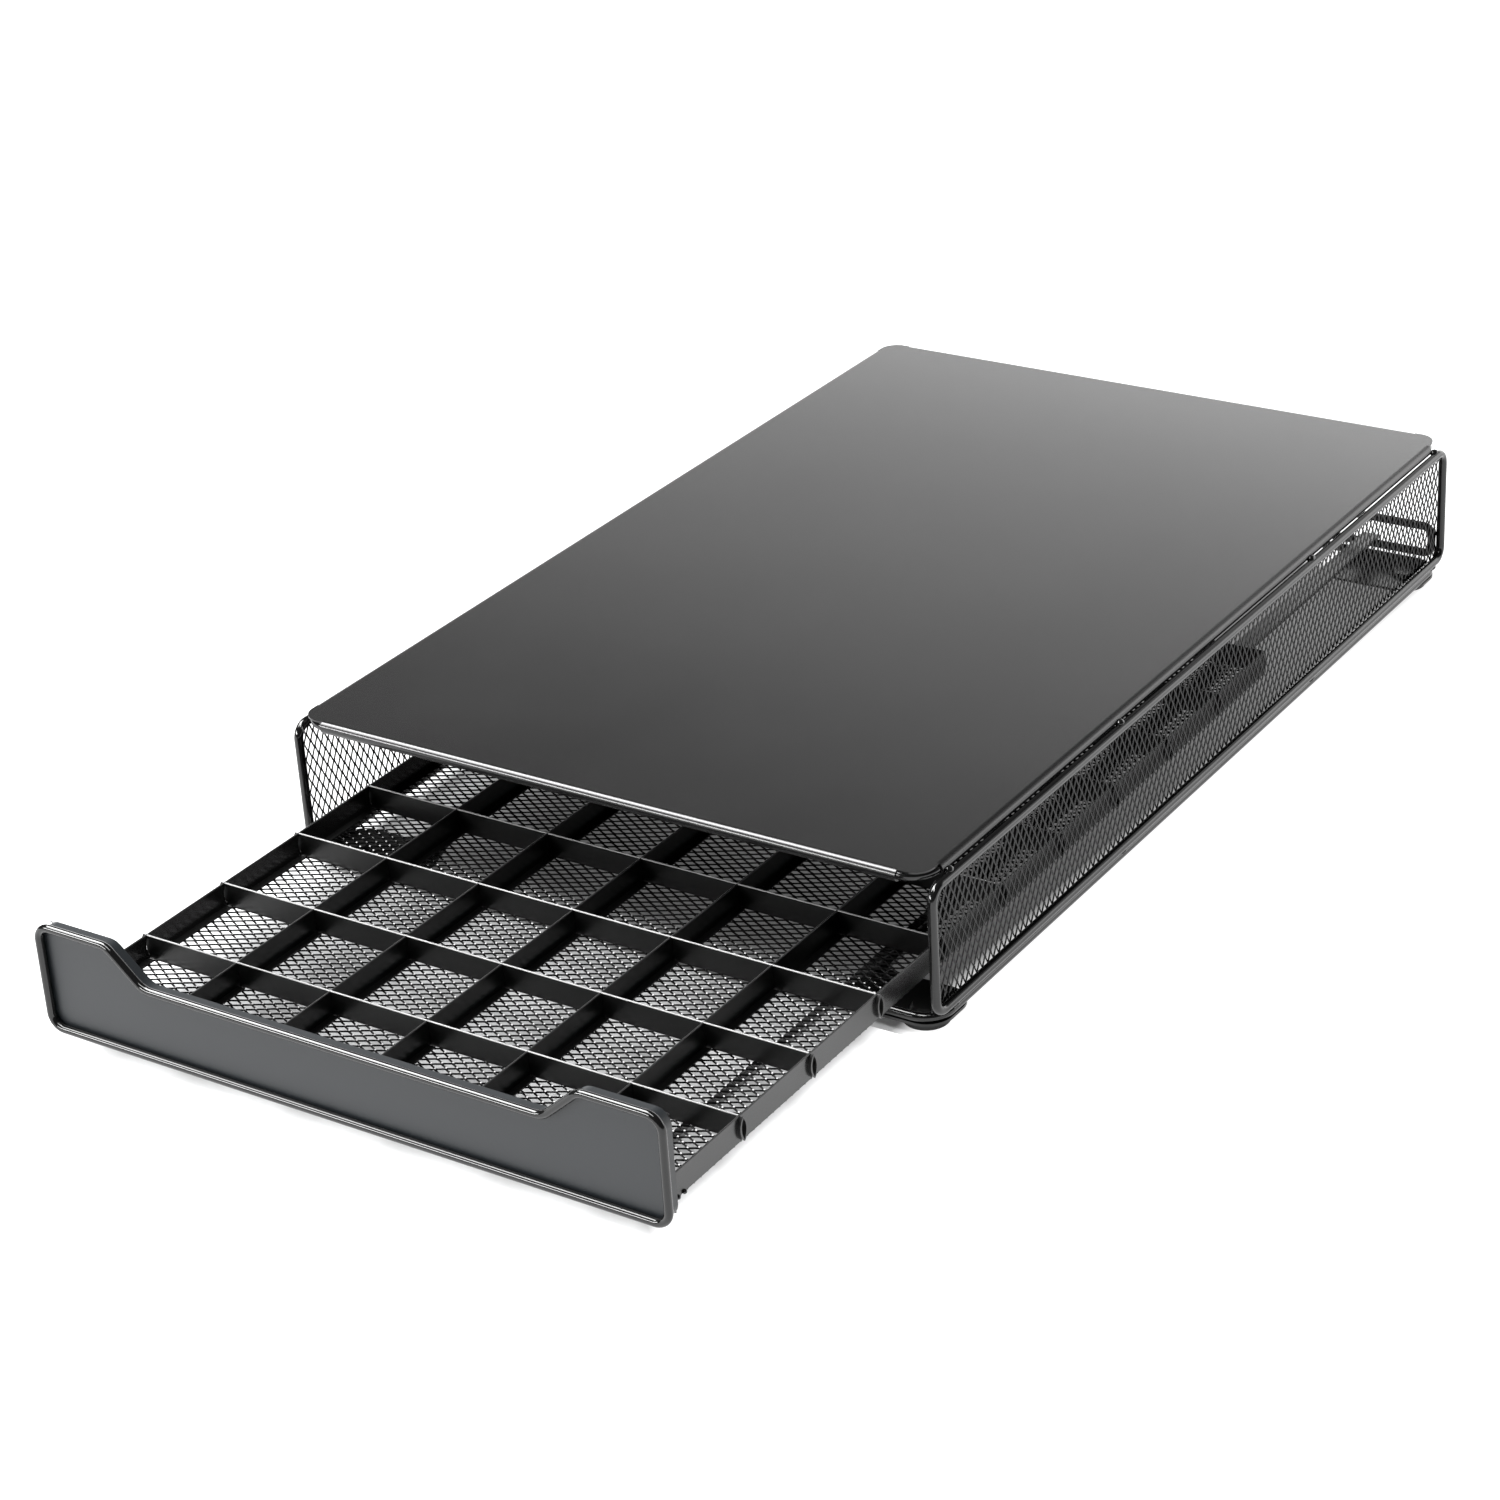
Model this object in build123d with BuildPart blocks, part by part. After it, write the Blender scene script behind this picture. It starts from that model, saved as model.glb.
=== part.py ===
from build123d import *
import os

os.makedirs("parts", exist_ok=True)

# Countertop drawer unit for small capsules: a low steel-wire and mesh housing under a flat sheet
# top, with one shallow drawer that slides out towards -Y. Lengths are in millimetres. X is the
# width, Y the depth, Z is up. The origin is on the table, under the middle of the unit as it
# stands with its drawer part open.

# ---- driving dimensions -------------------------------------------------------------------
top_width = 250.0            # sheet top, across
top_depth = 394.0            # sheet top, front to back
top_height = 59.2            # table to the top face of the sheet
sheet = 0.6                  # thickness of the sheet top
wire = 3.3                   # wire of the side and bottom frames
hem_wire = 3.1               # wire that the sheet's hems are rolled around
mesh = 0.4                   # expanded metal, as a closed sheet of about the same weight
hem_gap = 0.05               # between the top wire and the inside of the hem
loop_bend = 9.0              # centreline bend of the top and bottom loops

cell_x = 38.5                # pitch of the compartments across the drawer
cell_y = 39.0                # pitch of the compartments along the drawer
columns = 6
rows = 10
first_row = 43.0             # rim centre to the first cross divider
blade = 0.7                  # divider and drawer wall thickness
wall_height = 8.8

rim_wire = 2.8               # wire around the drawer front
rim_half = 119.0             # rim centreline, half width
rim_low = 11.8               # rim centreline heights: bottom run, finger notch and raised ends
rim_notch = 36.5
rim_high = 48.6

open_at_rest = 132.1         # how far the drawer stands open
closed_gap = 0.5             # drawer back to the rear stop wire, drawer shut

# ---- sizes that follow --------------------------------------------------------------------
half_w = top_width / 2
half_d = top_depth / 2
hem_r = hem_wire / 2 + hem_gap + sheet
hem_x = half_w - hem_r
hem_y = half_d - hem_r
hem_z = top_height - hem_r
wire_r = wire / 2
rim_r = rim_wire / 2

side_x = 126.0               # side frame centreline
side_y = 195.0
side_low = 9.6
side_high = 54.3
bend_r = 5.0                 # centreline bend of the side frames

base_x = 125.0               # bottom frame centreline
base_y = 193.6
base_z = 6.1
plate = 1.0                  # corner plate thickness
plate_z = base_z - wire_r - plate

stop_low = 10.0              # rear stop wire, heights of its two runs
stop_high = 21.2
mesh_x = side_x - wire_r - mesh

drawer_length = first_row + (rows - 1) * cell_y
back_at_closed = side_y - wire_r - closed_gap
rim_closed = back_at_closed - drawer_length - blade / 2
rim_at_rest = rim_closed - open_at_rest

# The whole unit is moved along Y so that the origin is below its middle.
shift = -(rim_at_rest - rim_r + half_d) / 2
rim_y = rim_at_rest + shift
back_y = rim_y + drawer_length
half_in = columns * cell_x / 2
floor_z = 15.4               # top of the drawer's mesh floor
wall_z = floor_z
skid = 1.5
skid_width = 3.2
skid_short = 4.0             # the skids are this much shorter than the floor
skid_x = {"left": -82.0, "right": 96.2}


def save(piece, name):
    """Label a finished piece and write its STEP."""
    piece.part.label = name
    export_step(piece.part, f"parts/{name}.step")


def corners(half_a, half_b, centre_b):
    """Corner points of a rectangle in a sketch plane, centred on zero across."""
    low = centre_b - half_b
    high = centre_b + half_b
    return [(half_a, low), (half_a, high), (-half_a, high), (-half_a, low)]


# ---- sheet top: flat panel whose four edges are rolled under around the top wire --------------
hem_short = 11.0             # each hem stops this far from the corner, where the wire is bare
corner_r = 7.0
hem_wrap = 250               # degrees the hem goes round the wire from the top
flat_past = 0.9              # the flat corners reach this far past the hems' centrelines
flat_x = hem_x + flat_past
flat_y = hem_y + flat_past

with BuildPart() as top_panel:
    with BuildSketch(Plane.XY.offset(top_height - sheet)):
        with Locations((0, shift)):
            RectangleRounded(2 * flat_x, 2 * flat_y, corner_r)
        with Locations((hem_x + hem_r / 2, shift), (-hem_x - hem_r / 2, shift)):
            Rectangle(hem_r, top_depth - 2 * hem_short, mode=Mode.SUBTRACT)
        with Locations((0, hem_y + hem_r / 2 + shift), (0, -hem_y - hem_r / 2 + shift)):
            Rectangle(top_width - 2 * hem_short, hem_r, mode=Mode.SUBTRACT)
    extrude(amount=sheet)
    for edge in range(4):
        along = (top_depth if edge % 2 == 0 else top_width) - 2 * hem_short
        reach = hem_x if edge % 2 == 0 else hem_y
        out = Vector(1, 0, 0).rotate(Axis.Z, 90 * edge)
        run = Vector(0, 1, 0).rotate(Axis.Z, 90 * edge)
        middle = out * reach + Vector(0, shift, hem_z)
        hem_plane = Plane(origin=middle - run * (along / 2), x_dir=out, z_dir=run)
        turn = 1 if hem_plane.y_dir.Z > 0 else -1
        with BuildSketch(hem_plane):
            with BuildLine():
                outer = CenterArc((0, 0), hem_r, turn * 90, -turn * hem_wrap)
                inner = CenterArc((0, 0), hem_r - sheet, turn * 90, -turn * hem_wrap)
                Line(outer @ 0, inner @ 0)
                Line(outer @ 1, inner @ 1)
            make_face()
        extrude(amount=along)
save(top_panel, "top_panel")

# ---- top frame: one wire loop inside the hems -------------------------------------------------
with BuildPart() as top_frame_wire:
    with BuildLine(Plane.XY.offset(hem_z)) as top_path:
        FilletPolyline(*corners(hem_x, hem_y, shift), radius=loop_bend, close=True)
    with BuildSketch(Plane(origin=top_path.line @ 0, z_dir=top_path.line % 0)):
        Circle(hem_wire / 2)
    sweep()
save(top_frame_wire, "top_frame_wire")

# ---- bottom frame: the loop that the corner plates and feet hang from -------------------------
with BuildPart() as bottom_frame_wire:
    with BuildLine(Plane.XY.offset(base_z)) as base_path:
        FilletPolyline(*corners(base_x, base_y, shift), radius=loop_bend, close=True)
    with BuildSketch(Plane(origin=base_path.line @ 0, z_dir=base_path.line % 0)):
        Circle(wire_r)
    sweep()
save(bottom_frame_wire, "bottom_frame_wire")

# ---- sides: a closed wire frame with expanded metal welded to its inner face ------------------
side_mid = (side_low + side_high) / 2
side_half = (side_high - side_low) / 2
bead_y = (-183.0, -70.0, 78.0, 188.0)
bead_half = 1.8              # half length of a bead
upper_bead = 1.6             # radii
lower_bead = 1.3
upper_in, upper_up = 0.7, 1.4    # bead centres from the side frame's centrelines
lower_down = 1.8

for side, sign in (("left", -1), ("right", 1)):
    with BuildPart() as side_frame:
        with BuildLine(Plane.YZ.offset(sign * side_x)) as side_path:
            FilletPolyline(
                (shift - side_y, side_low), (shift + side_y, side_low),
                (shift + side_y, side_high), (shift - side_y, side_high),
                radius=bend_r, close=True)
        with BuildSketch(Plane(origin=side_path.line @ 0, z_dir=side_path.line % 0)):
            Circle(wire_r)
        sweep()
    save(side_frame, f"side_frame_{side}")

    with BuildPart() as side_mesh:
        with BuildSketch(Plane.YZ.offset(sign * (mesh_x + mesh / 2) - mesh / 2)):
            with Locations((shift, side_mid)):
                RectangleRounded(2 * side_y, 2 * side_half, bend_r)
        extrude(amount=mesh)
    save(side_mesh, f"side_mesh_{side}")

    # Short beads join the side frame to the hem above it and to the bottom loop below it.
    with BuildPart() as weld_beads:
        for y in bead_y:
            with BuildSketch(Plane.XZ.offset(-shift - y)):
                with Locations((sign * (side_x - upper_in), side_high + upper_up)):
                    Circle(upper_bead)
                with Locations((sign * side_x, side_low - lower_down)):
                    Circle(lower_bead)
            extrude(amount=bead_half, both=True)
    save(weld_beads, f"weld_beads_{side}")

# ---- rear stop: a low closed loop across the open back, which the drawer comes up against -----
stop_half = mesh_x - wire_r
stop_bend = 3.4
with BuildPart() as rear_stop_wire:
    with BuildLine(Plane.XZ.offset(-shift - side_y)) as stop_path:
        FilletPolyline(
            *corners(stop_half, (stop_high - stop_low) / 2, (stop_high + stop_low) / 2),
            radius=stop_bend, close=True)
    with BuildSketch(Plane(origin=stop_path.line @ 0, z_dir=stop_path.line % 0)):
        Circle(wire_r)
    sweep()
save(rear_stop_wire, "rear_stop_wire")

# ---- runners: flat strips from front to back, joggled down onto the front of the bottom loop --
runner = 1.5
runner_width = 7.0
runner_z = stop_low + wire_r
front_rest_z = base_z + wire_r
joggle_inset = 6.0           # from the front of the bottom loop to the joggle, and its length
joggle_length = 10.0
joggle_start = shift - base_y + joggle_inset
joggle_end = joggle_start + joggle_length
joggle_shift = runner / 4    # keeps the strip's thickness even through the joggle
for side, x in skid_x.items():
    with BuildPart() as runner_strip:
        with BuildSketch(Plane.YZ.offset(x - runner_width / 2)):
            with BuildLine():
                Polyline(
                    (shift - base_y - wire_r, front_rest_z),
                    (joggle_start, front_rest_z),
                    (joggle_end, runner_z),
                    (shift + side_y + wire_r, runner_z),
                    (shift + side_y + wire_r, runner_z + runner),
                    (joggle_end - joggle_shift, runner_z + runner),
                    (joggle_start - joggle_shift, front_rest_z + runner),
                    (shift - base_y - wire_r, front_rest_z + runner),
                    close=True)
            make_face()
        extrude(amount=runner_width)
    save(runner_strip, f"runner_{side}")

# ---- corner plates under the bottom loop, each with a pressed boss over its foot --------------
plate_x = 40.0
plate_y = 25.0
foot_x = 116.0
foot_y = 184.5
foot_r = 8.0
boss_r = 5.5
boss_height = 1.6
boss_taper = 35
plate_corner = 9.0
plate_inset = 0.4            # from the outside of the loop to the plate's edge
foot_round = 1.0
plate_mid_x = base_x + wire_r - plate_inset - plate_x / 2
plate_mid_y = base_y + wire_r - plate_inset - plate_y / 2
for end, end_sign in (("front", -1), ("rear", 1)):
    for side, sign in (("left", -1), ("right", 1)):
        foot_at = (sign * foot_x, shift + end_sign * foot_y)
        with BuildPart() as corner_plate:
            with BuildSketch(Plane.XY.offset(plate_z)):
                with Locations((sign * plate_mid_x, shift + end_sign * plate_mid_y)):
                    RectangleRounded(plate_x, plate_y, plate_corner)
            extrude(amount=plate)
            with BuildSketch(Plane.XY.offset(plate_z + plate)):
                with Locations(foot_at):
                    Circle(boss_r)
            extrude(amount=boss_height, taper=boss_taper)
        save(corner_plate, f"corner_plate_{end}_{side}")

        with BuildPart() as foot:
            with BuildSketch():
                with Locations(foot_at):
                    Circle(foot_r)
            extrude(amount=plate_z)
            rim_edge = foot.edges().filter_by(GeomType.CIRCLE).group_by(Axis.Z)[0]
            fillet(rim_edge, radius=foot_round)
        save(foot, f"foot_{end}_{side}")

# ---- drawer front: shallow pan in a wire rim, its middle lowered as a finger notch ------------
notch_top = 90.0             # half width of the notch at the raised ends
notch_low = 76.5             # and at its bottom run
rim_outline = [
    (rim_half, rim_low), (rim_half, rim_high), (notch_top, rim_high), (notch_low, rim_notch),
    (-notch_low, rim_notch), (-notch_top, rim_high), (-rim_half, rim_high), (-rim_half, rim_low)]
rim_bends = [5.0, 5.0, 6.0, 8.0, 8.0, 6.0, 5.0, 5.0]
pan = 0.7
pan_depth = 3.4
panel_y = rim_y + rim_r

with BuildPart() as drawer_front_rim:
    with BuildLine(Plane.XZ.offset(-rim_y)) as rim_path:
        FilletPolyline(*rim_outline, radius=rim_bends, close=True)
    with BuildSketch(Plane(origin=rim_path.line @ 0, z_dir=rim_path.line % 0)):
        Circle(rim_r)
    sweep()
save(drawer_front_rim, "drawer_front_rim")

with BuildPart() as drawer_front_panel:
    with BuildSketch(Plane.XZ.offset(-panel_y)) as panel_face:
        with BuildLine():
            FilletPolyline(*rim_outline, radius=rim_bends, close=True)
        make_face()
    extrude(amount=-pan_depth)
    with BuildSketch(Plane.XZ.offset(-panel_y - pan)):
        add(panel_face.sketch.face().moved(Location((0, pan, 0))))
        offset(amount=-pan, mode=Mode.REPLACE)
    extrude(amount=-(pan_depth - pan), mode=Mode.SUBTRACT)
save(drawer_front_panel, "drawer_front_panel")

# ---- mesh backing that closes the back of the pan ---------------------------------------------
backing_y = panel_y + pan_depth
with BuildPart() as drawer_front_mesh:
    with BuildSketch(Plane.XZ.offset(-backing_y)):
        with BuildLine():
            FilletPolyline(*rim_outline, radius=rim_bends, close=True)
        make_face()
    extrude(amount=-mesh)
save(drawer_front_mesh, "drawer_front_mesh")

# ---- drawer floor, skids and walls ------------------------------------------------------------
inside_y = backing_y + mesh
wall_x = half_in + blade / 2
wall_back = back_y + blade / 2
inside_length = wall_back - inside_y
inside_mid = (wall_back + inside_y) / 2
inner_half = wall_x - blade
cross_y = [rim_y + first_row + row * cell_y for row in range(rows - 1)]

with BuildPart() as drawer_floor_mesh:
    with BuildSketch(Plane.XY.offset(floor_z - mesh)):
        with Locations((0, inside_mid)):
            Rectangle(2 * wall_x, inside_length)
    extrude(amount=mesh)
save(drawer_floor_mesh, "drawer_floor_mesh")

for side, x in skid_x.items():
    with BuildPart() as skid_strip:
        with BuildSketch(Plane.XY.offset(floor_z - mesh - skid)):
            with Locations((x, inside_mid)):
                Rectangle(skid_width, inside_length - skid_short)
        extrude(amount=skid)
    save(skid_strip, f"drawer_skid_{side}")

# Each cross divider's end tab sits in an eye-shaped slit in the side wall, whose lip is pressed
# outwards. The left wall and every long divider also have a narrow flange turned along the foot.
blade_flat = wall_height - blade / 2    # the top edge is rounded above this
eye_z = wall_z + wall_height / 2
lip = 1.1                    # how far the lip stands out of the wall
lip_half = 2.0               # half width of the lip and of the slit
slit_half = 1.2
lip_tall, slit_tall = 4.3, 3.7   # half heights of the lip and of the slit
lip_low, lip_high = eye_z - lip_tall, eye_z + lip_tall
slit_low, slit_high = eye_z - slit_tall, eye_z + slit_tall
flange_width = 2.6
flange = 0.5
flange_gap = 1.0             # each length of flange stops this far from the cross dividers
row_ends = [inside_y, *cross_y, back_y]


def flange_faces(x):
    """Lengths of foot flange, one per row, running towards +X from the blade face at x."""
    for front, back in zip(row_ends[:-1], row_ends[1:]):
        with Locations((x + flange_width / 2, (front + back) / 2)):
            Rectangle(flange_width, back - front - 2 * flange_gap)


for side, sign in (("left", -1), ("right", 1)):
    with BuildPart() as drawer_wall:
        with BuildSketch(Plane.XZ.offset(-inside_y)):
            with Locations((sign * half_in, wall_z + blade_flat / 2)):
                Rectangle(blade, blade_flat)
            with Locations((sign * half_in, wall_z + blade_flat)):
                Circle(blade / 2)
        extrude(amount=-inside_length)
        with BuildSketch(Plane.YZ.offset(sign * wall_x)):
            for y in cross_y:
                with BuildLine():
                    ThreePointArc((y, lip_low), (y + lip_half, eye_z), (y, lip_high))
                    ThreePointArc((y, lip_high), (y - lip_half, eye_z), (y, lip_low))
                make_face()
        extrude(amount=sign * lip)
        with BuildSketch(Plane.YZ.offset(sign * (wall_x + lip))):
            for y in cross_y:
                with BuildLine():
                    ThreePointArc((y, slit_low), (y + slit_half, eye_z), (y, slit_high))
                    ThreePointArc((y, slit_high), (y - slit_half, eye_z), (y, slit_low))
                make_face()
        extrude(amount=-sign * (lip + blade), mode=Mode.SUBTRACT)
        if side == "left":
            with BuildSketch(Plane.XY.offset(wall_z)):
                flange_faces(-inner_half)
            extrude(amount=flange)
    save(drawer_wall, f"drawer_wall_{side}")

with BuildPart() as drawer_wall_rear:
    with BuildSketch(Plane.YZ):
        with Locations((back_y, wall_z + blade_flat / 2)):
            Rectangle(blade, blade_flat)
        with Locations((back_y, wall_z + blade_flat)):
            Circle(blade / 2)
    extrude(amount=inner_half, both=True)
save(drawer_wall_rear, "drawer_wall_rear")

# ---- dividers: cross blades slotted from below, long blades slotted from above ----------------
slot_play = 0.1
slot = blade + slot_play
tab_half = 2.6
tab_past = 0.1               # the tabs stand this far out of the wall, inside the lips
tab_reach = wall_x + tab_past
half_height = wall_height / 2
upper_slot = half_height / 2    # middle of the upper slots, above the blade's middle
long_x = [half_in - cell_x * (column + 1) for column in range(columns - 1)]

for number, y in enumerate(cross_y, start=1):
    with BuildPart() as cross_divider:
        with BuildSketch(Plane.YZ):
            with Locations((y, wall_z + blade_flat / 2)):
                Rectangle(blade, blade_flat)
            with Locations((y, wall_z + blade_flat)):
                Circle(blade / 2)
        extrude(amount=inner_half, both=True)
        with BuildSketch(Plane.YZ):
            with Locations((y, wall_z + half_height)):
                Rectangle(blade, 2 * tab_half)
        extrude(amount=tab_reach, both=True)
        with BuildSketch(Plane.XZ.offset(-y)):
            with Locations(*[(x, wall_z + half_height / 2) for x in long_x]):
                Rectangle(slot, half_height)
        extrude(amount=blade, both=True, mode=Mode.SUBTRACT)
    save(cross_divider, f"cross_divider_{number}")

long_back = back_y - blade / 2
for number, x in enumerate(sorted(long_x), start=1):
    with BuildPart() as long_divider:
        with BuildSketch(Plane.XZ.offset(-inside_y)):
            with Locations((x, wall_z + blade_flat / 2)):
                Rectangle(blade, blade_flat)
            with Locations((x, wall_z + blade_flat)):
                Circle(blade / 2)
        extrude(amount=-(long_back - inside_y))
        with BuildSketch(Plane.YZ.offset(x)):
            with Locations(*[(y, wall_z + half_height + upper_slot) for y in cross_y]):
                Rectangle(slot, half_height)
        extrude(amount=blade, both=True, mode=Mode.SUBTRACT)
        with BuildSketch(Plane.XY.offset(wall_z)):
            flange_faces(x + blade / 2)
        extrude(amount=flange)
    save(long_divider, f"long_divider_{number}")

# ---- weld beads at the foot of both walls, beside the front pan -------------------------------
bead_r = 0.8
bead_shift = 0.2             # bead centres out of the wall and up from its foot
bead_x = wall_x + bead_shift
bead_runs = ((1.0, 3.0), (6.0, 2.4))    # start behind the front pan, and length
with BuildPart() as drawer_weld_beads:
    for start, length in bead_runs:
        with BuildSketch(Plane.XZ.offset(-inside_y - start)):
            with Locations((bead_x, wall_z + bead_shift), (-bead_x, wall_z + bead_shift)):
                Circle(bead_r)
        extrude(amount=-length)
save(drawer_weld_beads, "drawer_weld_beads")
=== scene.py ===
import math

import bpy
from mathutils import Matrix, Quaternion, Vector


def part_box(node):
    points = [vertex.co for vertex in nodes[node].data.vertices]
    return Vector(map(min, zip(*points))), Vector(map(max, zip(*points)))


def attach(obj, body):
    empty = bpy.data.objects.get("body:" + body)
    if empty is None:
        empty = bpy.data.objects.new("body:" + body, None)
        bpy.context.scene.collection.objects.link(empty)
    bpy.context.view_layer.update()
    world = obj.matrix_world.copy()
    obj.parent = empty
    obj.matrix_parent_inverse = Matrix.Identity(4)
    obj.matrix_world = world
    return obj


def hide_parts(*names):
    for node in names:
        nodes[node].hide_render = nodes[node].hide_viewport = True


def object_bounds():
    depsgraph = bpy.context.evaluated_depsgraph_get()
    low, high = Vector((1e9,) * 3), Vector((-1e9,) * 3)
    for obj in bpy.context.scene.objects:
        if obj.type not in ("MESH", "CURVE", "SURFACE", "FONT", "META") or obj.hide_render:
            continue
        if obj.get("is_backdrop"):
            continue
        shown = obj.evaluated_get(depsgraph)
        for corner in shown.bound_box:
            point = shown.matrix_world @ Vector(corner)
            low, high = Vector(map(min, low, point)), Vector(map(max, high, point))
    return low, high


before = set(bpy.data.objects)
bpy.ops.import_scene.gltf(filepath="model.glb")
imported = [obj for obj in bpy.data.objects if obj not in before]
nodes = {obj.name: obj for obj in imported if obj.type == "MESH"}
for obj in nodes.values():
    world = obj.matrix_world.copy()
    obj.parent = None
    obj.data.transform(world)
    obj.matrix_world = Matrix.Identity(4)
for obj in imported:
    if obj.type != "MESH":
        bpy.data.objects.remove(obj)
cad_low, cad_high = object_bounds()
MM = 0.001


# ==== Sheet top ================================================================================
# A plain sheet of thin steel whose four edges are rolled under around a wire loop. It is sprayed
# with black powder and baked, which leaves a fine, even pebble that turns bright light soft.

class Signal:
    """One output of a node. Arithmetic on it adds Math nodes, and node() adds any other."""

    def __init__(self, tree, socket=None):
        self.tree = tree
        self.socket = socket

    def node(self, kind, settings=None, inputs=None, out=0):
        made = self.tree.nodes.new(kind)
        for name, value in (settings or {}).items():
            setattr(made, name, value)
        for name, value in (inputs or {}).items():
            if isinstance(value, Signal):
                self.tree.links.new(value.socket, made.inputs[name])
            else:
                made.inputs[name].default_value = value
        return Signal(self.tree, made.outputs[out] if made.outputs else None)

    def math(self, operation, first, second=0.0):
        return self.node("ShaderNodeMath", {"operation": operation}, {0: first, 1: second})

    def __add__(self, other):
        return self.math("ADD", self, other)

    __radd__ = __add__

    def __sub__(self, other):
        return self.math("SUBTRACT", self, other)

    def __rsub__(self, other):
        return self.math("SUBTRACT", other, self)

    def __mul__(self, other):
        return self.math("MULTIPLY", self, other)

    __rmul__ = __mul__

    def __truediv__(self, other):
        return self.math("DIVIDE", self, other)

    def __mod__(self, other):
        return self.math("FLOORED_MODULO", self, other)

    def __gt__(self, other):
        return self.math("GREATER_THAN", self, other)

    def __lt__(self, other):
        return self.math("LESS_THAN", self, other)

    def __abs__(self):
        return self.math("ABSOLUTE", self)

    def __round__(self):
        return self.math("ROUND", self)

    def __floor__(self):
        return self.math("FLOOR", self)


def powder_coat(name, grey, roughness, pebble, relief, blue=0.0, edge=None):
    """Baked black powder: a pebbled skin of the given grain, slightly cloudy over a hand's width.

    Above an edge's height a lighter grey stands in for the shine along a blade's rounded top.
    """
    clouds_per_metre = 9.0
    cloud_gloss = 0.08
    grain_height = pebble * 0.12
    darkest, lightest = 0.8, 1.2
    material = bpy.data.materials.new(name)
    material.use_nodes = True
    material.node_tree.nodes.clear()
    start = Signal(material.node_tree)
    place = start.node("ShaderNodeTexCoord", out="Object")
    grain = start.node("ShaderNodeTexNoise", inputs={
        "Vector": place, "Scale": 1 / pebble, "Detail": 3.0, "Roughness": 0.55})
    cloud = start.node("ShaderNodeTexNoise", inputs={
        "Vector": place, "Scale": clouds_per_metre, "Detail": 3.0, "Roughness": 0.6})
    shade = cloud * 0.5 + grain * 0.5
    dark, light = [(grey * part * (1 - blue), grey * part, grey * part * (1 + blue), 1)
                   for part in (darkest, lightest)]
    colour = start.node("ShaderNodeMix", {"data_type": "RGBA"}, {
        0: shade, 6: dark, 7: light}, out=2)
    if edge:
        height, shine = edge
        up = start.node("ShaderNodeSeparateXYZ", inputs={0: place}, out="Z")
        # Painted highlight: above the given height the colour turns to a lighter grey, standing in
        # for the shine of a rounded top edge.
        painted_top_highlight = (up > height) * (0.75 + grain * 0.5)
        colour = start.node("ShaderNodeMix", {"data_type": "RGBA"}, {
            0: painted_top_highlight, 6: colour, 7: (shine, shine, shine, 1)}, out=2)
    bump = start.node("ShaderNodeBump", inputs={
        "Strength": relief, "Distance": grain_height, "Height": grain})
    skin = start.node("ShaderNodeBsdfPrincipled", inputs={
        "Base Color": colour, "Roughness": roughness + (cloud - 0.5) * cloud_gloss,
        "Normal": bump})
    start.node("ShaderNodeOutputMaterial", inputs={"Surface": skin})
    return material


def dress(material, *names):
    """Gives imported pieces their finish."""
    for name in names:
        nodes[name].data.materials.clear()
        nodes[name].data.materials.append(material)


coated_top = powder_coat("coated_sheet_top", grey=0.004, roughness=0.23, pebble=0.6 * MM,
                         relief=0.14)
dress(coated_top, "top_panel")


# ==== Wire frames ==============================================================================
# Drawn steel wire, bent into closed loops and butt-welded: the loop under the hems, the loop the
# feet hang from, one frame for each side, the low stop at the back and the rim of the drawer front.
# The coat flows smoother on wire, so it is glossier than on the sheet.

coated_wire = powder_coat("coated_wire", grey=0.003, roughness=0.11, pebble=1.6 * MM, relief=0.06)
dress(coated_wire, "top_frame_wire", "bottom_frame_wire", "side_frame_left", "side_frame_right",
      "rear_stop_wire", "drawer_front_rim")


# ==== Strips, dividers, walls and the front pan ================================================
# Thin sheet steel, cut to strips: the drawer's walls, the dividers that are halved into each other,
# the runners and the skids on them, the corner plates, and the pressed pan of the drawer front.
# A lighter grey along the top edges of the dividers and walls is a painted highlight, brightest on
# the cross dividers.


def like(beginning):
    """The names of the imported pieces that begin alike."""
    return [name for name in nodes if name.startswith(beginning)]


painted_highlight_depth = 0.3 * MM                  # how far the shine reaches down from a blade's top
top_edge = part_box("cross_divider_1")[1].z - painted_highlight_depth
# Greys of the painted highlight along the top edges of the cross dividers, long dividers and walls.
cross_painted_highlight, long_painted_highlight, wall_painted_highlight = 0.19, 0.02, 0.03        # greys of the shine

coated_strip = powder_coat("coated_strip", grey=0.002, roughness=0.28, pebble=0.9 * MM,
                           relief=0.08)
dress(coated_strip, *like("runner"), *like("drawer_skid"), *like("corner_plate"))
coated_cross = powder_coat("coated_cross_blade", grey=0.002, roughness=0.30, pebble=0.9 * MM,
                           relief=0.08, edge=(top_edge, cross_painted_highlight))
dress(coated_cross, *like("cross_divider"))
coated_long = powder_coat("coated_long_blade", grey=0.002, roughness=0.30, pebble=0.9 * MM,
                          relief=0.08, edge=(top_edge, long_painted_highlight))
dress(coated_long, *like("long_divider"))
# The walls' grey is lighter than the other black coats: a painted reflection of the bright table
# beside them.
coated_wall = powder_coat("coated_wall", grey=0.012, roughness=0.24, pebble=0.7 * MM,
                          relief=0.12, edge=(top_edge, wall_painted_highlight))
dress(coated_wall, *like("drawer_wall"))
coated_pan = powder_coat("coated_front_pan", grey=0.009, roughness=0.40, pebble=0.6 * MM,
                         relief=0.20, blue=0.22)
dress(coated_pan, "drawer_front_panel")


# ==== Expanded metal ===========================================================================
# Slit and stretched sheet steel: zigzag strands that meet in short bonds and lean out of the plane
# of the sheet. The drawer floor has its diamonds lying across, the sides have them upright. Its cut
# ends are welded to the frames all round.

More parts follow.
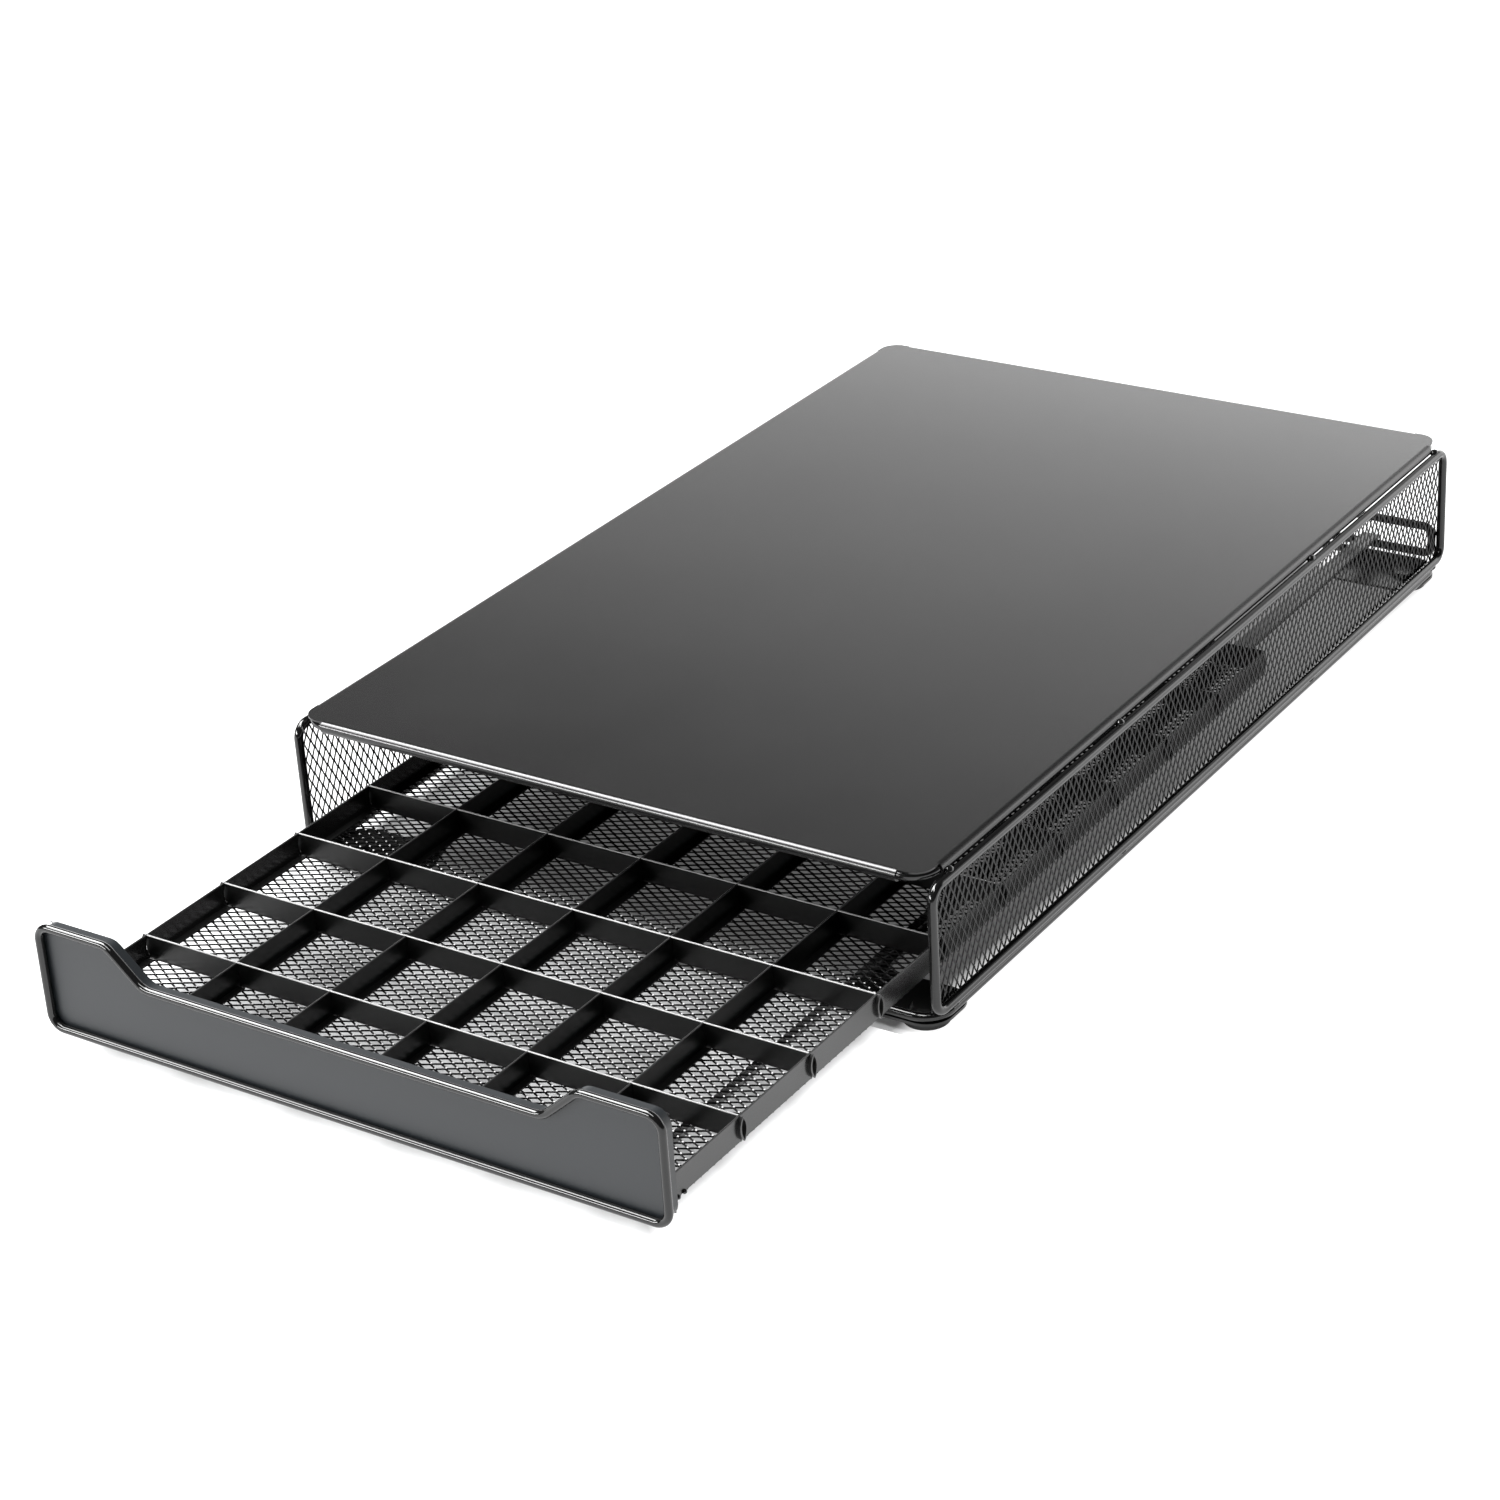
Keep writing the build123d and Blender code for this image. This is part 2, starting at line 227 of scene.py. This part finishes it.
strand_width = 0.44 * MM
floor_strand = 0.58 * MM               # the floor's strands are wider
left_strand = 0.56 * MM                # and so are the left side's
strand_thickness = 0.36 * MM
bond_length = 0.6 * MM
long_pitch = 5.85 * MM
short_pitch = 3.55 * MM
upright_pitch = 6.5 * MM               # long pitch of the side panels
lean = math.radians(28)


def inputs_of(tree):
    """The identifiers of a tree's inputs by name."""
    return {item.name: item.identifier for item in tree.interface.items_tree
            if item.in_out == "INPUT"}


def new_tree(name, sizes):
    """A geometry tree: a mesh goes in with a material and named sizes, and a mesh comes out."""
    tree = bpy.data.node_groups.new(name, "GeometryNodeTree")
    tree.interface.new_socket("Mesh", in_out="OUTPUT", socket_type="NodeSocketGeometry")
    tree.interface.new_socket("Mesh", in_out="INPUT", socket_type="NodeSocketGeometry")
    tree.interface.new_socket("Material", in_out="INPUT", socket_type="NodeSocketMaterial")
    for size in sizes:
        tree.interface.new_socket(size, in_out="INPUT", socket_type="NodeSocketFloat")
    group = tree.nodes.new("NodeGroupInput")
    return tree, {out.name: Signal(tree, out) for out in group.outputs if out.name}


def finish_tree(made, material):
    """Ends a tree: real mesh, its material, and the way out."""
    made = made.node("GeometryNodeRealizeInstances", inputs={"Geometry": made})
    made = made.node("GeometryNodeSetMaterial", inputs={"Geometry": made, "Material": material})
    made.node("NodeGroupOutput", inputs={0: made})


def bake(name, tree, material, sizes, place, body, stands_for, points=None):
    """Runs a tree once, keeps the plain mesh in its place and hands it to a body."""
    seed = bpy.data.meshes.new(name + "_seed")
    if points:
        seed.from_pydata([at for at, wide in points], [], [])
        radii = seed.attributes.new("radius", "FLOAT", "POINT")
        radii.data.foreach_set("value", [wide for at, wide in points])
    carrier = bpy.data.objects.new(name + "_seed", seed)
    bpy.context.scene.collection.objects.link(carrier)
    maker = carrier.modifiers.new("maker", "NODES")
    maker.node_group = tree
    sockets = inputs_of(tree)
    maker[sockets["Material"]] = material
    for size, value in sizes.items():
        maker[sockets[size]] = value
    bpy.context.view_layer.update()
    finished = carrier.evaluated_get(bpy.context.evaluated_depsgraph_get())
    mesh = bpy.data.meshes.new_from_object(finished)
    bpy.data.objects.remove(carrier)
    mesh.transform(place)
    mesh.name = name
    piece = bpy.data.objects.new(name, mesh)
    bpy.context.scene.collection.objects.link(piece)
    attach(piece, body)
    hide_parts(*stands_for)


expanded, size = new_tree("expanded_metal", [
    "Run", "Rise", "Long pitch", "Short pitch", "Strand width", "Strand thickness", "Lean",
    "Bond length", "Notch floor", "Notch half width", "Notch slope"])
start = Signal(expanded)
stations = round(size["Run"] / (size["Long pitch"] * 0.5)) + 1
strands = round(size["Rise"] / (size["Short pitch"] * 0.5))
step = size["Run"] / (stations - 1)
gap = size["Rise"] / strands
strand = start.node("GeometryNodeMeshLine", {"mode": "OFFSET"}, {
    "Count": stations,
    "Start Location": start.node("ShaderNodeCombineXYZ", inputs={0: size["Run"] * -0.5}),
    "Offset": start.node("ShaderNodeCombineXYZ", inputs={0: step})})
starts = start.node("GeometryNodeMeshLine", {"mode": "OFFSET"}, {
    "Count": strands,
    "Start Location": start.node("ShaderNodeCombineXYZ", inputs={
        1: size["Rise"] * -0.5 + gap * 0.5}),
    "Offset": start.node("ShaderNodeCombineXYZ", inputs={1: gap})})
sheet = start.node("GeometryNodeInstanceOnPoints", inputs={"Points": starts, "Instance": strand})
sheet = start.node("GeometryNodeRealizeInstances", inputs={"Geometry": sheet})
index = start.node("GeometryNodeInputIndex")
turn = (index % stations + math.floor(index / stations)) % 2 * 2 - 1
swing = gap * 0.5 - size["Strand width"] * 0.5
crimp = size["Strand thickness"] * 0.28
sheet = start.node("GeometryNodeSetPosition", inputs={
    "Geometry": sheet,
    "Offset": start.node("ShaderNodeCombineXYZ", inputs={1: turn * swing, 2: turn * crimp})})
where = start.node("GeometryNodeInputPosition")
across = start.node("ShaderNodeSeparateXYZ", inputs={0: where}, out="X")
up = start.node("ShaderNodeSeparateXYZ", inputs={0: where}, out="Y")
above = up - size["Notch floor"]
cut_away = (above > 0) * (abs(across) < size["Notch half width"] + above * size["Notch slope"])
sheet = start.node("GeometryNodeDeleteGeometry", {"domain": "POINT"}, {
    "Geometry": sheet, "Selection": cut_away})
bond_width = size["Strand width"] * 0.8
bond_lift = size["Strand thickness"] * 0.8
bonds = start.node("GeometryNodeInstanceOnPoints", inputs={
    "Points": start.node("GeometryNodeMeshToPoints", inputs={"Mesh": sheet, "Selection": turn > 0}),
    "Instance": start.node("GeometryNodeMeshGrid", inputs={
        "Size X": 1.0, "Size Y": 1.0, "Vertices X": 2, "Vertices Y": 2}),
    "Rotation": start.node("ShaderNodeCombineXYZ", inputs={0: abs(size["Lean"])}),
    "Scale": start.node("ShaderNodeCombineXYZ", inputs={
        0: size["Bond length"], 1: bond_width, 2: 1.0})})
bonds = start.node("GeometryNodeTransform", inputs={
    "Geometry": bonds, "Translation": start.node("ShaderNodeCombineXYZ", inputs={
        1: size["Strand width"] * 0.5, 2: bond_lift})})
sheet = start.node("GeometryNodeMeshToCurve", inputs={"Mesh": sheet})
sheet = start.node("GeometryNodeSetCurveNormal", {"mode": "Z_UP"}, {"Curve": sheet})
sheet = start.node("GeometryNodeSetCurveTilt", inputs={"Curve": sheet, "Tilt": size["Lean"]})
section = start.node("GeometryNodeCurvePrimitiveQuadrilateral", {"mode": "RECTANGLE"}, {
    "Width": size["Strand thickness"], "Height": size["Strand width"]})
sheet = start.node("GeometryNodeCurveToMesh", inputs={
    "Curve": sheet, "Profile Curve": section, "Fill Caps": True})
sheet = start.node("GeometryNodeSetShadeSmooth", inputs={"Geometry": sheet, "Shade Smooth": False})
joined = start.node("GeometryNodeJoinGeometry")
for part in (sheet, bonds):
    expanded.links.new(part.socket, joined.socket.node.inputs[0])
finish_tree(joined, size["Material"])

coated_mesh = powder_coat("coated_expanded_metal", grey=0.002, roughness=0.16, pebble=1.6 * MM,
                          relief=0.08)
out_of_reach = 1.0                     # a notch this high up cuts nothing
lattice = {
    "Long pitch": long_pitch, "Short pitch": short_pitch, "Strand width": strand_width,
    "Strand thickness": strand_thickness, "Lean": lean, "Bond length": bond_length,
    "Notch floor": out_of_reach, "Notch half width": 0.0, "Notch slope": 0.0}

trim = 0.6 * MM                        # what the floor and front panels lose between opposite ends
low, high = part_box("drawer_floor_mesh")
middle = (low + high) / 2
bake("floor_expanded_metal", expanded, coated_mesh,
     {**lattice, "Lean": -lean, "Strand width": floor_strand,
      "Run": high.x - low.x - trim, "Rise": high.y - low.y - trim},
     Matrix.Translation(middle), "drawer", ["drawer_floor_mesh"])

tuck = 0.2 * MM                        # how far the cut ends stop short of the wire's centreline
upright = Matrix(((0, 0, 1, 0), (0, 1, 0, 0), (-1, 0, 0, 0), (0, 0, 0, 1)))
for side, side_lean, side_strand in (("left", -lean, left_strand), ("right", lean, strand_width)):
    low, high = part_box(f"side_mesh_{side}")
    middle = (low + high) / 2
    bake(f"side_expanded_metal_{side}", expanded, coated_mesh,
         {**lattice, "Long pitch": upright_pitch, "Lean": side_lean, "Strand width": side_strand,
          "Run": high.z - low.z - 2 * tuck, "Rise": high.y - low.y - 2 * tuck},
         Matrix.Translation(middle) @ upright, "housing", [f"side_mesh_{side}"])

notch_floor = 36.2 * MM                # the finger notch: height of its floor,
notch_half = 77 * MM                   # half its width there
notch_slope = 1.1                      # and how its ends flare
rim_clearance = 2 * MM                 # what the front panel loses to the rim's two upright runs
low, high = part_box("drawer_front_mesh")
middle = (low + high) / 2
facing = Matrix(((1, 0, 0, 0), (0, 0, -1, 0), (0, 1, 0, 0), (0, 0, 0, 1)))
bake("front_expanded_metal", expanded, coated_mesh,
     {**lattice, "Run": high.x - low.x - rim_clearance, "Rise": high.z - low.z - trim,
      "Notch floor": notch_floor - middle.z, "Notch half width": notch_half,
      "Notch slope": notch_slope},
     Matrix.Translation(middle) @ facing, "drawer", ["drawer_front_mesh"])


# ==== Weld beads ===============================================================================
# Short beads join each side frame to the hem above it and the bottom loop below it, and others hold
# the drawer walls to the pan. They are lumpy, and the coat over them shines.

beads, size = new_tree("weld_beads", ["Length", "Lumps"])
start = Signal(beads)
radius = start.node("GeometryNodeInputNamedAttribute", {"data_type": "FLOAT"}, {"Name": "radius"})
ball = start.node("GeometryNodeMeshIcoSphere", inputs={"Radius": 1.0, "Subdivisions": 3})
blobs = start.node("GeometryNodeInstanceOnPoints", inputs={
    "Points": size["Mesh"], "Instance": ball,
    "Scale": start.node("ShaderNodeCombineXYZ", inputs={
        0: radius, 1: radius * size["Length"], 2: radius})})
blobs = start.node("GeometryNodeRealizeInstances", inputs={"Geometry": blobs})
lumps_per_metre = 900.0
inward = 0.62                          # noise below this sinks the skin, as most of it does
lump = start.node("ShaderNodeTexNoise", inputs={"Scale": lumps_per_metre, "Detail": 1.0})
outward = start.node("GeometryNodeInputNormal")
push = start.node("ShaderNodeVectorMath", {"operation": "SCALE"}, {
    0: outward, "Scale": (lump - inward) * size["Lumps"]})
blobs = start.node("GeometryNodeSetPosition", inputs={"Geometry": blobs, "Offset": push})
blobs = start.node("GeometryNodeSetShadeSmooth", inputs={"Geometry": blobs, "Shade Smooth": True})
finish_tree(blobs, size["Material"])

coated_weld = powder_coat("coated_weld", grey=0.004, roughness=0.12, pebble=1.2 * MM, relief=0.1)
bead_places = [-183 * MM, -70 * MM, 78 * MM, 188 * MM]      # along a side, from its middle
upper_bead = 125.3 * MM, 55.7 * MM, 1.55 * MM              # out from the middle, height, radius
lower_bead = 126.0 * MM, 7.8 * MM, 1.25 * MM
housing_middle = sum(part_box("side_frame_left"), Vector()).y / 2
for side, sign in (("left", -1), ("right", 1)):
    sites = []
    for bead_place in bead_places:
        for out, height, wide in (upper_bead, lower_bead):
            sites.append((Vector((sign * out, housing_middle + bead_place, height)), wide))
    bake(f"frame_weld_beads_{side}", beads, coated_weld, {"Length": 1.3, "Lumps": 0.5 * MM},
         Matrix.Identity(4), "housing", [f"weld_beads_{side}"], points=sites)
wall_bead = 0.75 * MM                  # radius
wall_bead_inset = 0.8 * MM
wall_bead_rows = 1.4 * MM, 3.0 * MM, 6.2 * MM
low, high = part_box("drawer_weld_beads")
sites = []
for x in (low.x + wall_bead_inset, high.x - wall_bead_inset):
    for row in wall_bead_rows:
        sites.append((Vector((x, low.y + row, low.z + wall_bead_inset)), wall_bead))
bake("wall_weld_beads", beads, coated_weld, {"Length": 1.2, "Lumps": 0.3 * MM},
     Matrix.Identity(4), "drawer", ["drawer_weld_beads"], points=sites)


# ==== Feet =====================================================================================
# Four short round feet of black rubber under the corner plates. The rubber is matt and a little
# dusty.

foot_rubber = powder_coat("foot_rubber", grey=0.008, roughness=0.70, pebble=0.4 * MM, relief=0.4)
dress(foot_rubber, *like("foot_"))


# ==== Table ====================================================================================
# The unit stands on a grey table whose emission is painted light: it glows evenly all round the
# unit, washing out its shadows, and only faintly below it, so it is nearly dark there. It is there
# for the look of the scene and isn't part of the unit.

glow_x, glow_y = 106.6 * MM, 250.5 * MM    # half the dark patch, across and along
glow_shift = 7 * MM                        # how far to the left the patch has its middle
glow_step = 9 * MM                         # how much wider it is to each side under the housing
glow_drift = 7 * MM                        # and how much wider again under the back
fade = 9 * MM                              # from the patch's edge to even white
under = 0.07                               # glow left in the patch
behind = 0.17                              # and how much more of it at the back
white = bpy.data.materials.new("glowing_table")
white.use_nodes = True
white.node_tree.nodes.clear()
start = Signal(white.node_tree)
place = start.node("ShaderNodeTexCoord", out="Object")
sideways = start.node("ShaderNodeSeparateXYZ", inputs={0: place}, out="X")
along = start.node("ShaderNodeSeparateXYZ", inputs={0: place}, out="Y")
front_y, rear_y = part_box("side_frame_left")[0].y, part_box("side_frame_left")[1].y
deep = (along - front_y) / (rear_y - front_y)
deep = start.math("MINIMUM", start.math("MAXIMUM", deep, 0.0), 1.0)
beside = abs(sideways + glow_shift) - glow_x - (along > front_y) * glow_step - deep * glow_drift
before = abs(along) - glow_y
away = start.math("MAXIMUM", beside, before) / fade
# Painted light: the table's emission, full all round the unit, faint in the patch below it and a
# little stronger towards the back.
glow = start.math("MAXIMUM", start.math("MINIMUM", away, 1.0), under + deep * behind)
skin = start.node("ShaderNodeBsdfPrincipled", inputs={
    "Base Color": (0.30, 0.302, 0.305, 1), "Roughness": 0.9, "Specular IOR Level": 0.1,
    "Emission Color": glow, "Emission Strength": 1.0})
start.node("ShaderNodeOutputMaterial", inputs={"Surface": skin})
reach = 8.0
corners = [(-reach, -reach, 0), (reach, -reach, 0), (reach, reach, 0), (-reach, reach, 0)]
table_mesh = bpy.data.meshes.new("table")
table_mesh.from_pydata(corners, [], [(0, 1, 2, 3)])
table_mesh.materials.append(white)
table = bpy.data.objects.new("table", table_mesh)
bpy.context.scene.collection.objects.link(table)
table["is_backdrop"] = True


# ==== Lights and camera ========================================================================
# Two wide screens stand low behind the unit and shine along its sheet top. A large box high on the
# left and a strip overhead draw the bright lines on the wires, and a long strip lights the front.


def soft_light(name, at, aim, wide, tall, power):
    """A flat screen of light."""
    lamp = bpy.data.lights.new(name, "AREA")
    lamp.shape = "RECTANGLE"
    lamp.size = wide
    lamp.size_y = tall
    lamp.energy = power
    holder = bpy.data.objects.new(name, lamp)
    holder.location = at
    holder.rotation_mode = "QUATERNION"
    holder.rotation_quaternion = (Vector(aim) - Vector(at)).to_track_quat("-Z", "Y")
    bpy.context.scene.collection.objects.link(holder)


soft_light("back_screen", at=(-0.75, 1.20, 0.25), aim=(-0.95, 0.0, 0.25),
           wide=4.0, tall=0.46, power=17.0)
soft_light("back_screen_top", at=(-0.75, 1.20, 0.65), aim=(-0.95, 0.0, 0.65),
           wide=4.0, tall=0.30, power=3.0)
soft_light("left_box", at=(-1.1, -0.3, 1.9), aim=(0.0, 0.0, 0.0), wide=1.4, tall=1.4, power=105.0)
soft_light("overhead_strip", at=(-0.5, -0.4, 1.5), aim=(-0.3, 0.0, 0.0),
           wide=2.2, tall=0.35, power=40.0)
soft_light("front_strip", at=(-1.4, -2.2, 0.9), aim=(0.0, -0.1, 0.0),
           wide=1.9, tall=0.42, power=75.0)
bpy.context.scene.view_settings.view_transform = "Standard"

world = bpy.data.worlds.new("studio")
bpy.context.scene.world = world
world.use_nodes = True
world.node_tree.nodes["Background"].inputs["Color"].default_value = (1, 1, 1, 1)
world.node_tree.nodes["Background"].inputs["Strength"].default_value = 0.10

azimuth = math.radians(34.65)
elevation = math.radians(26.91)
roll = math.radians(-3.69)
ahead = Vector((-math.sin(azimuth) * math.cos(elevation),
                math.cos(azimuth) * math.cos(elevation), -math.sin(elevation)))
lens = bpy.data.cameras.new("camera")
lens.lens = 87.3
lens.sensor_width = 36.0
camera = bpy.data.objects.new("camera", lens)
camera.location = (0.6378, -0.9596, 0.6027)
camera.rotation_mode = "QUATERNION"
camera.rotation_quaternion = ahead.to_track_quat("-Z", "Y") @ Quaternion((0, 0, 1), roll)
bpy.context.scene.collection.objects.link(camera)
bpy.context.scene.camera = camera

low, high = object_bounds()
{"cad": [list(cad_low), list(cad_high)], "visual": [list(low), list(high)]}
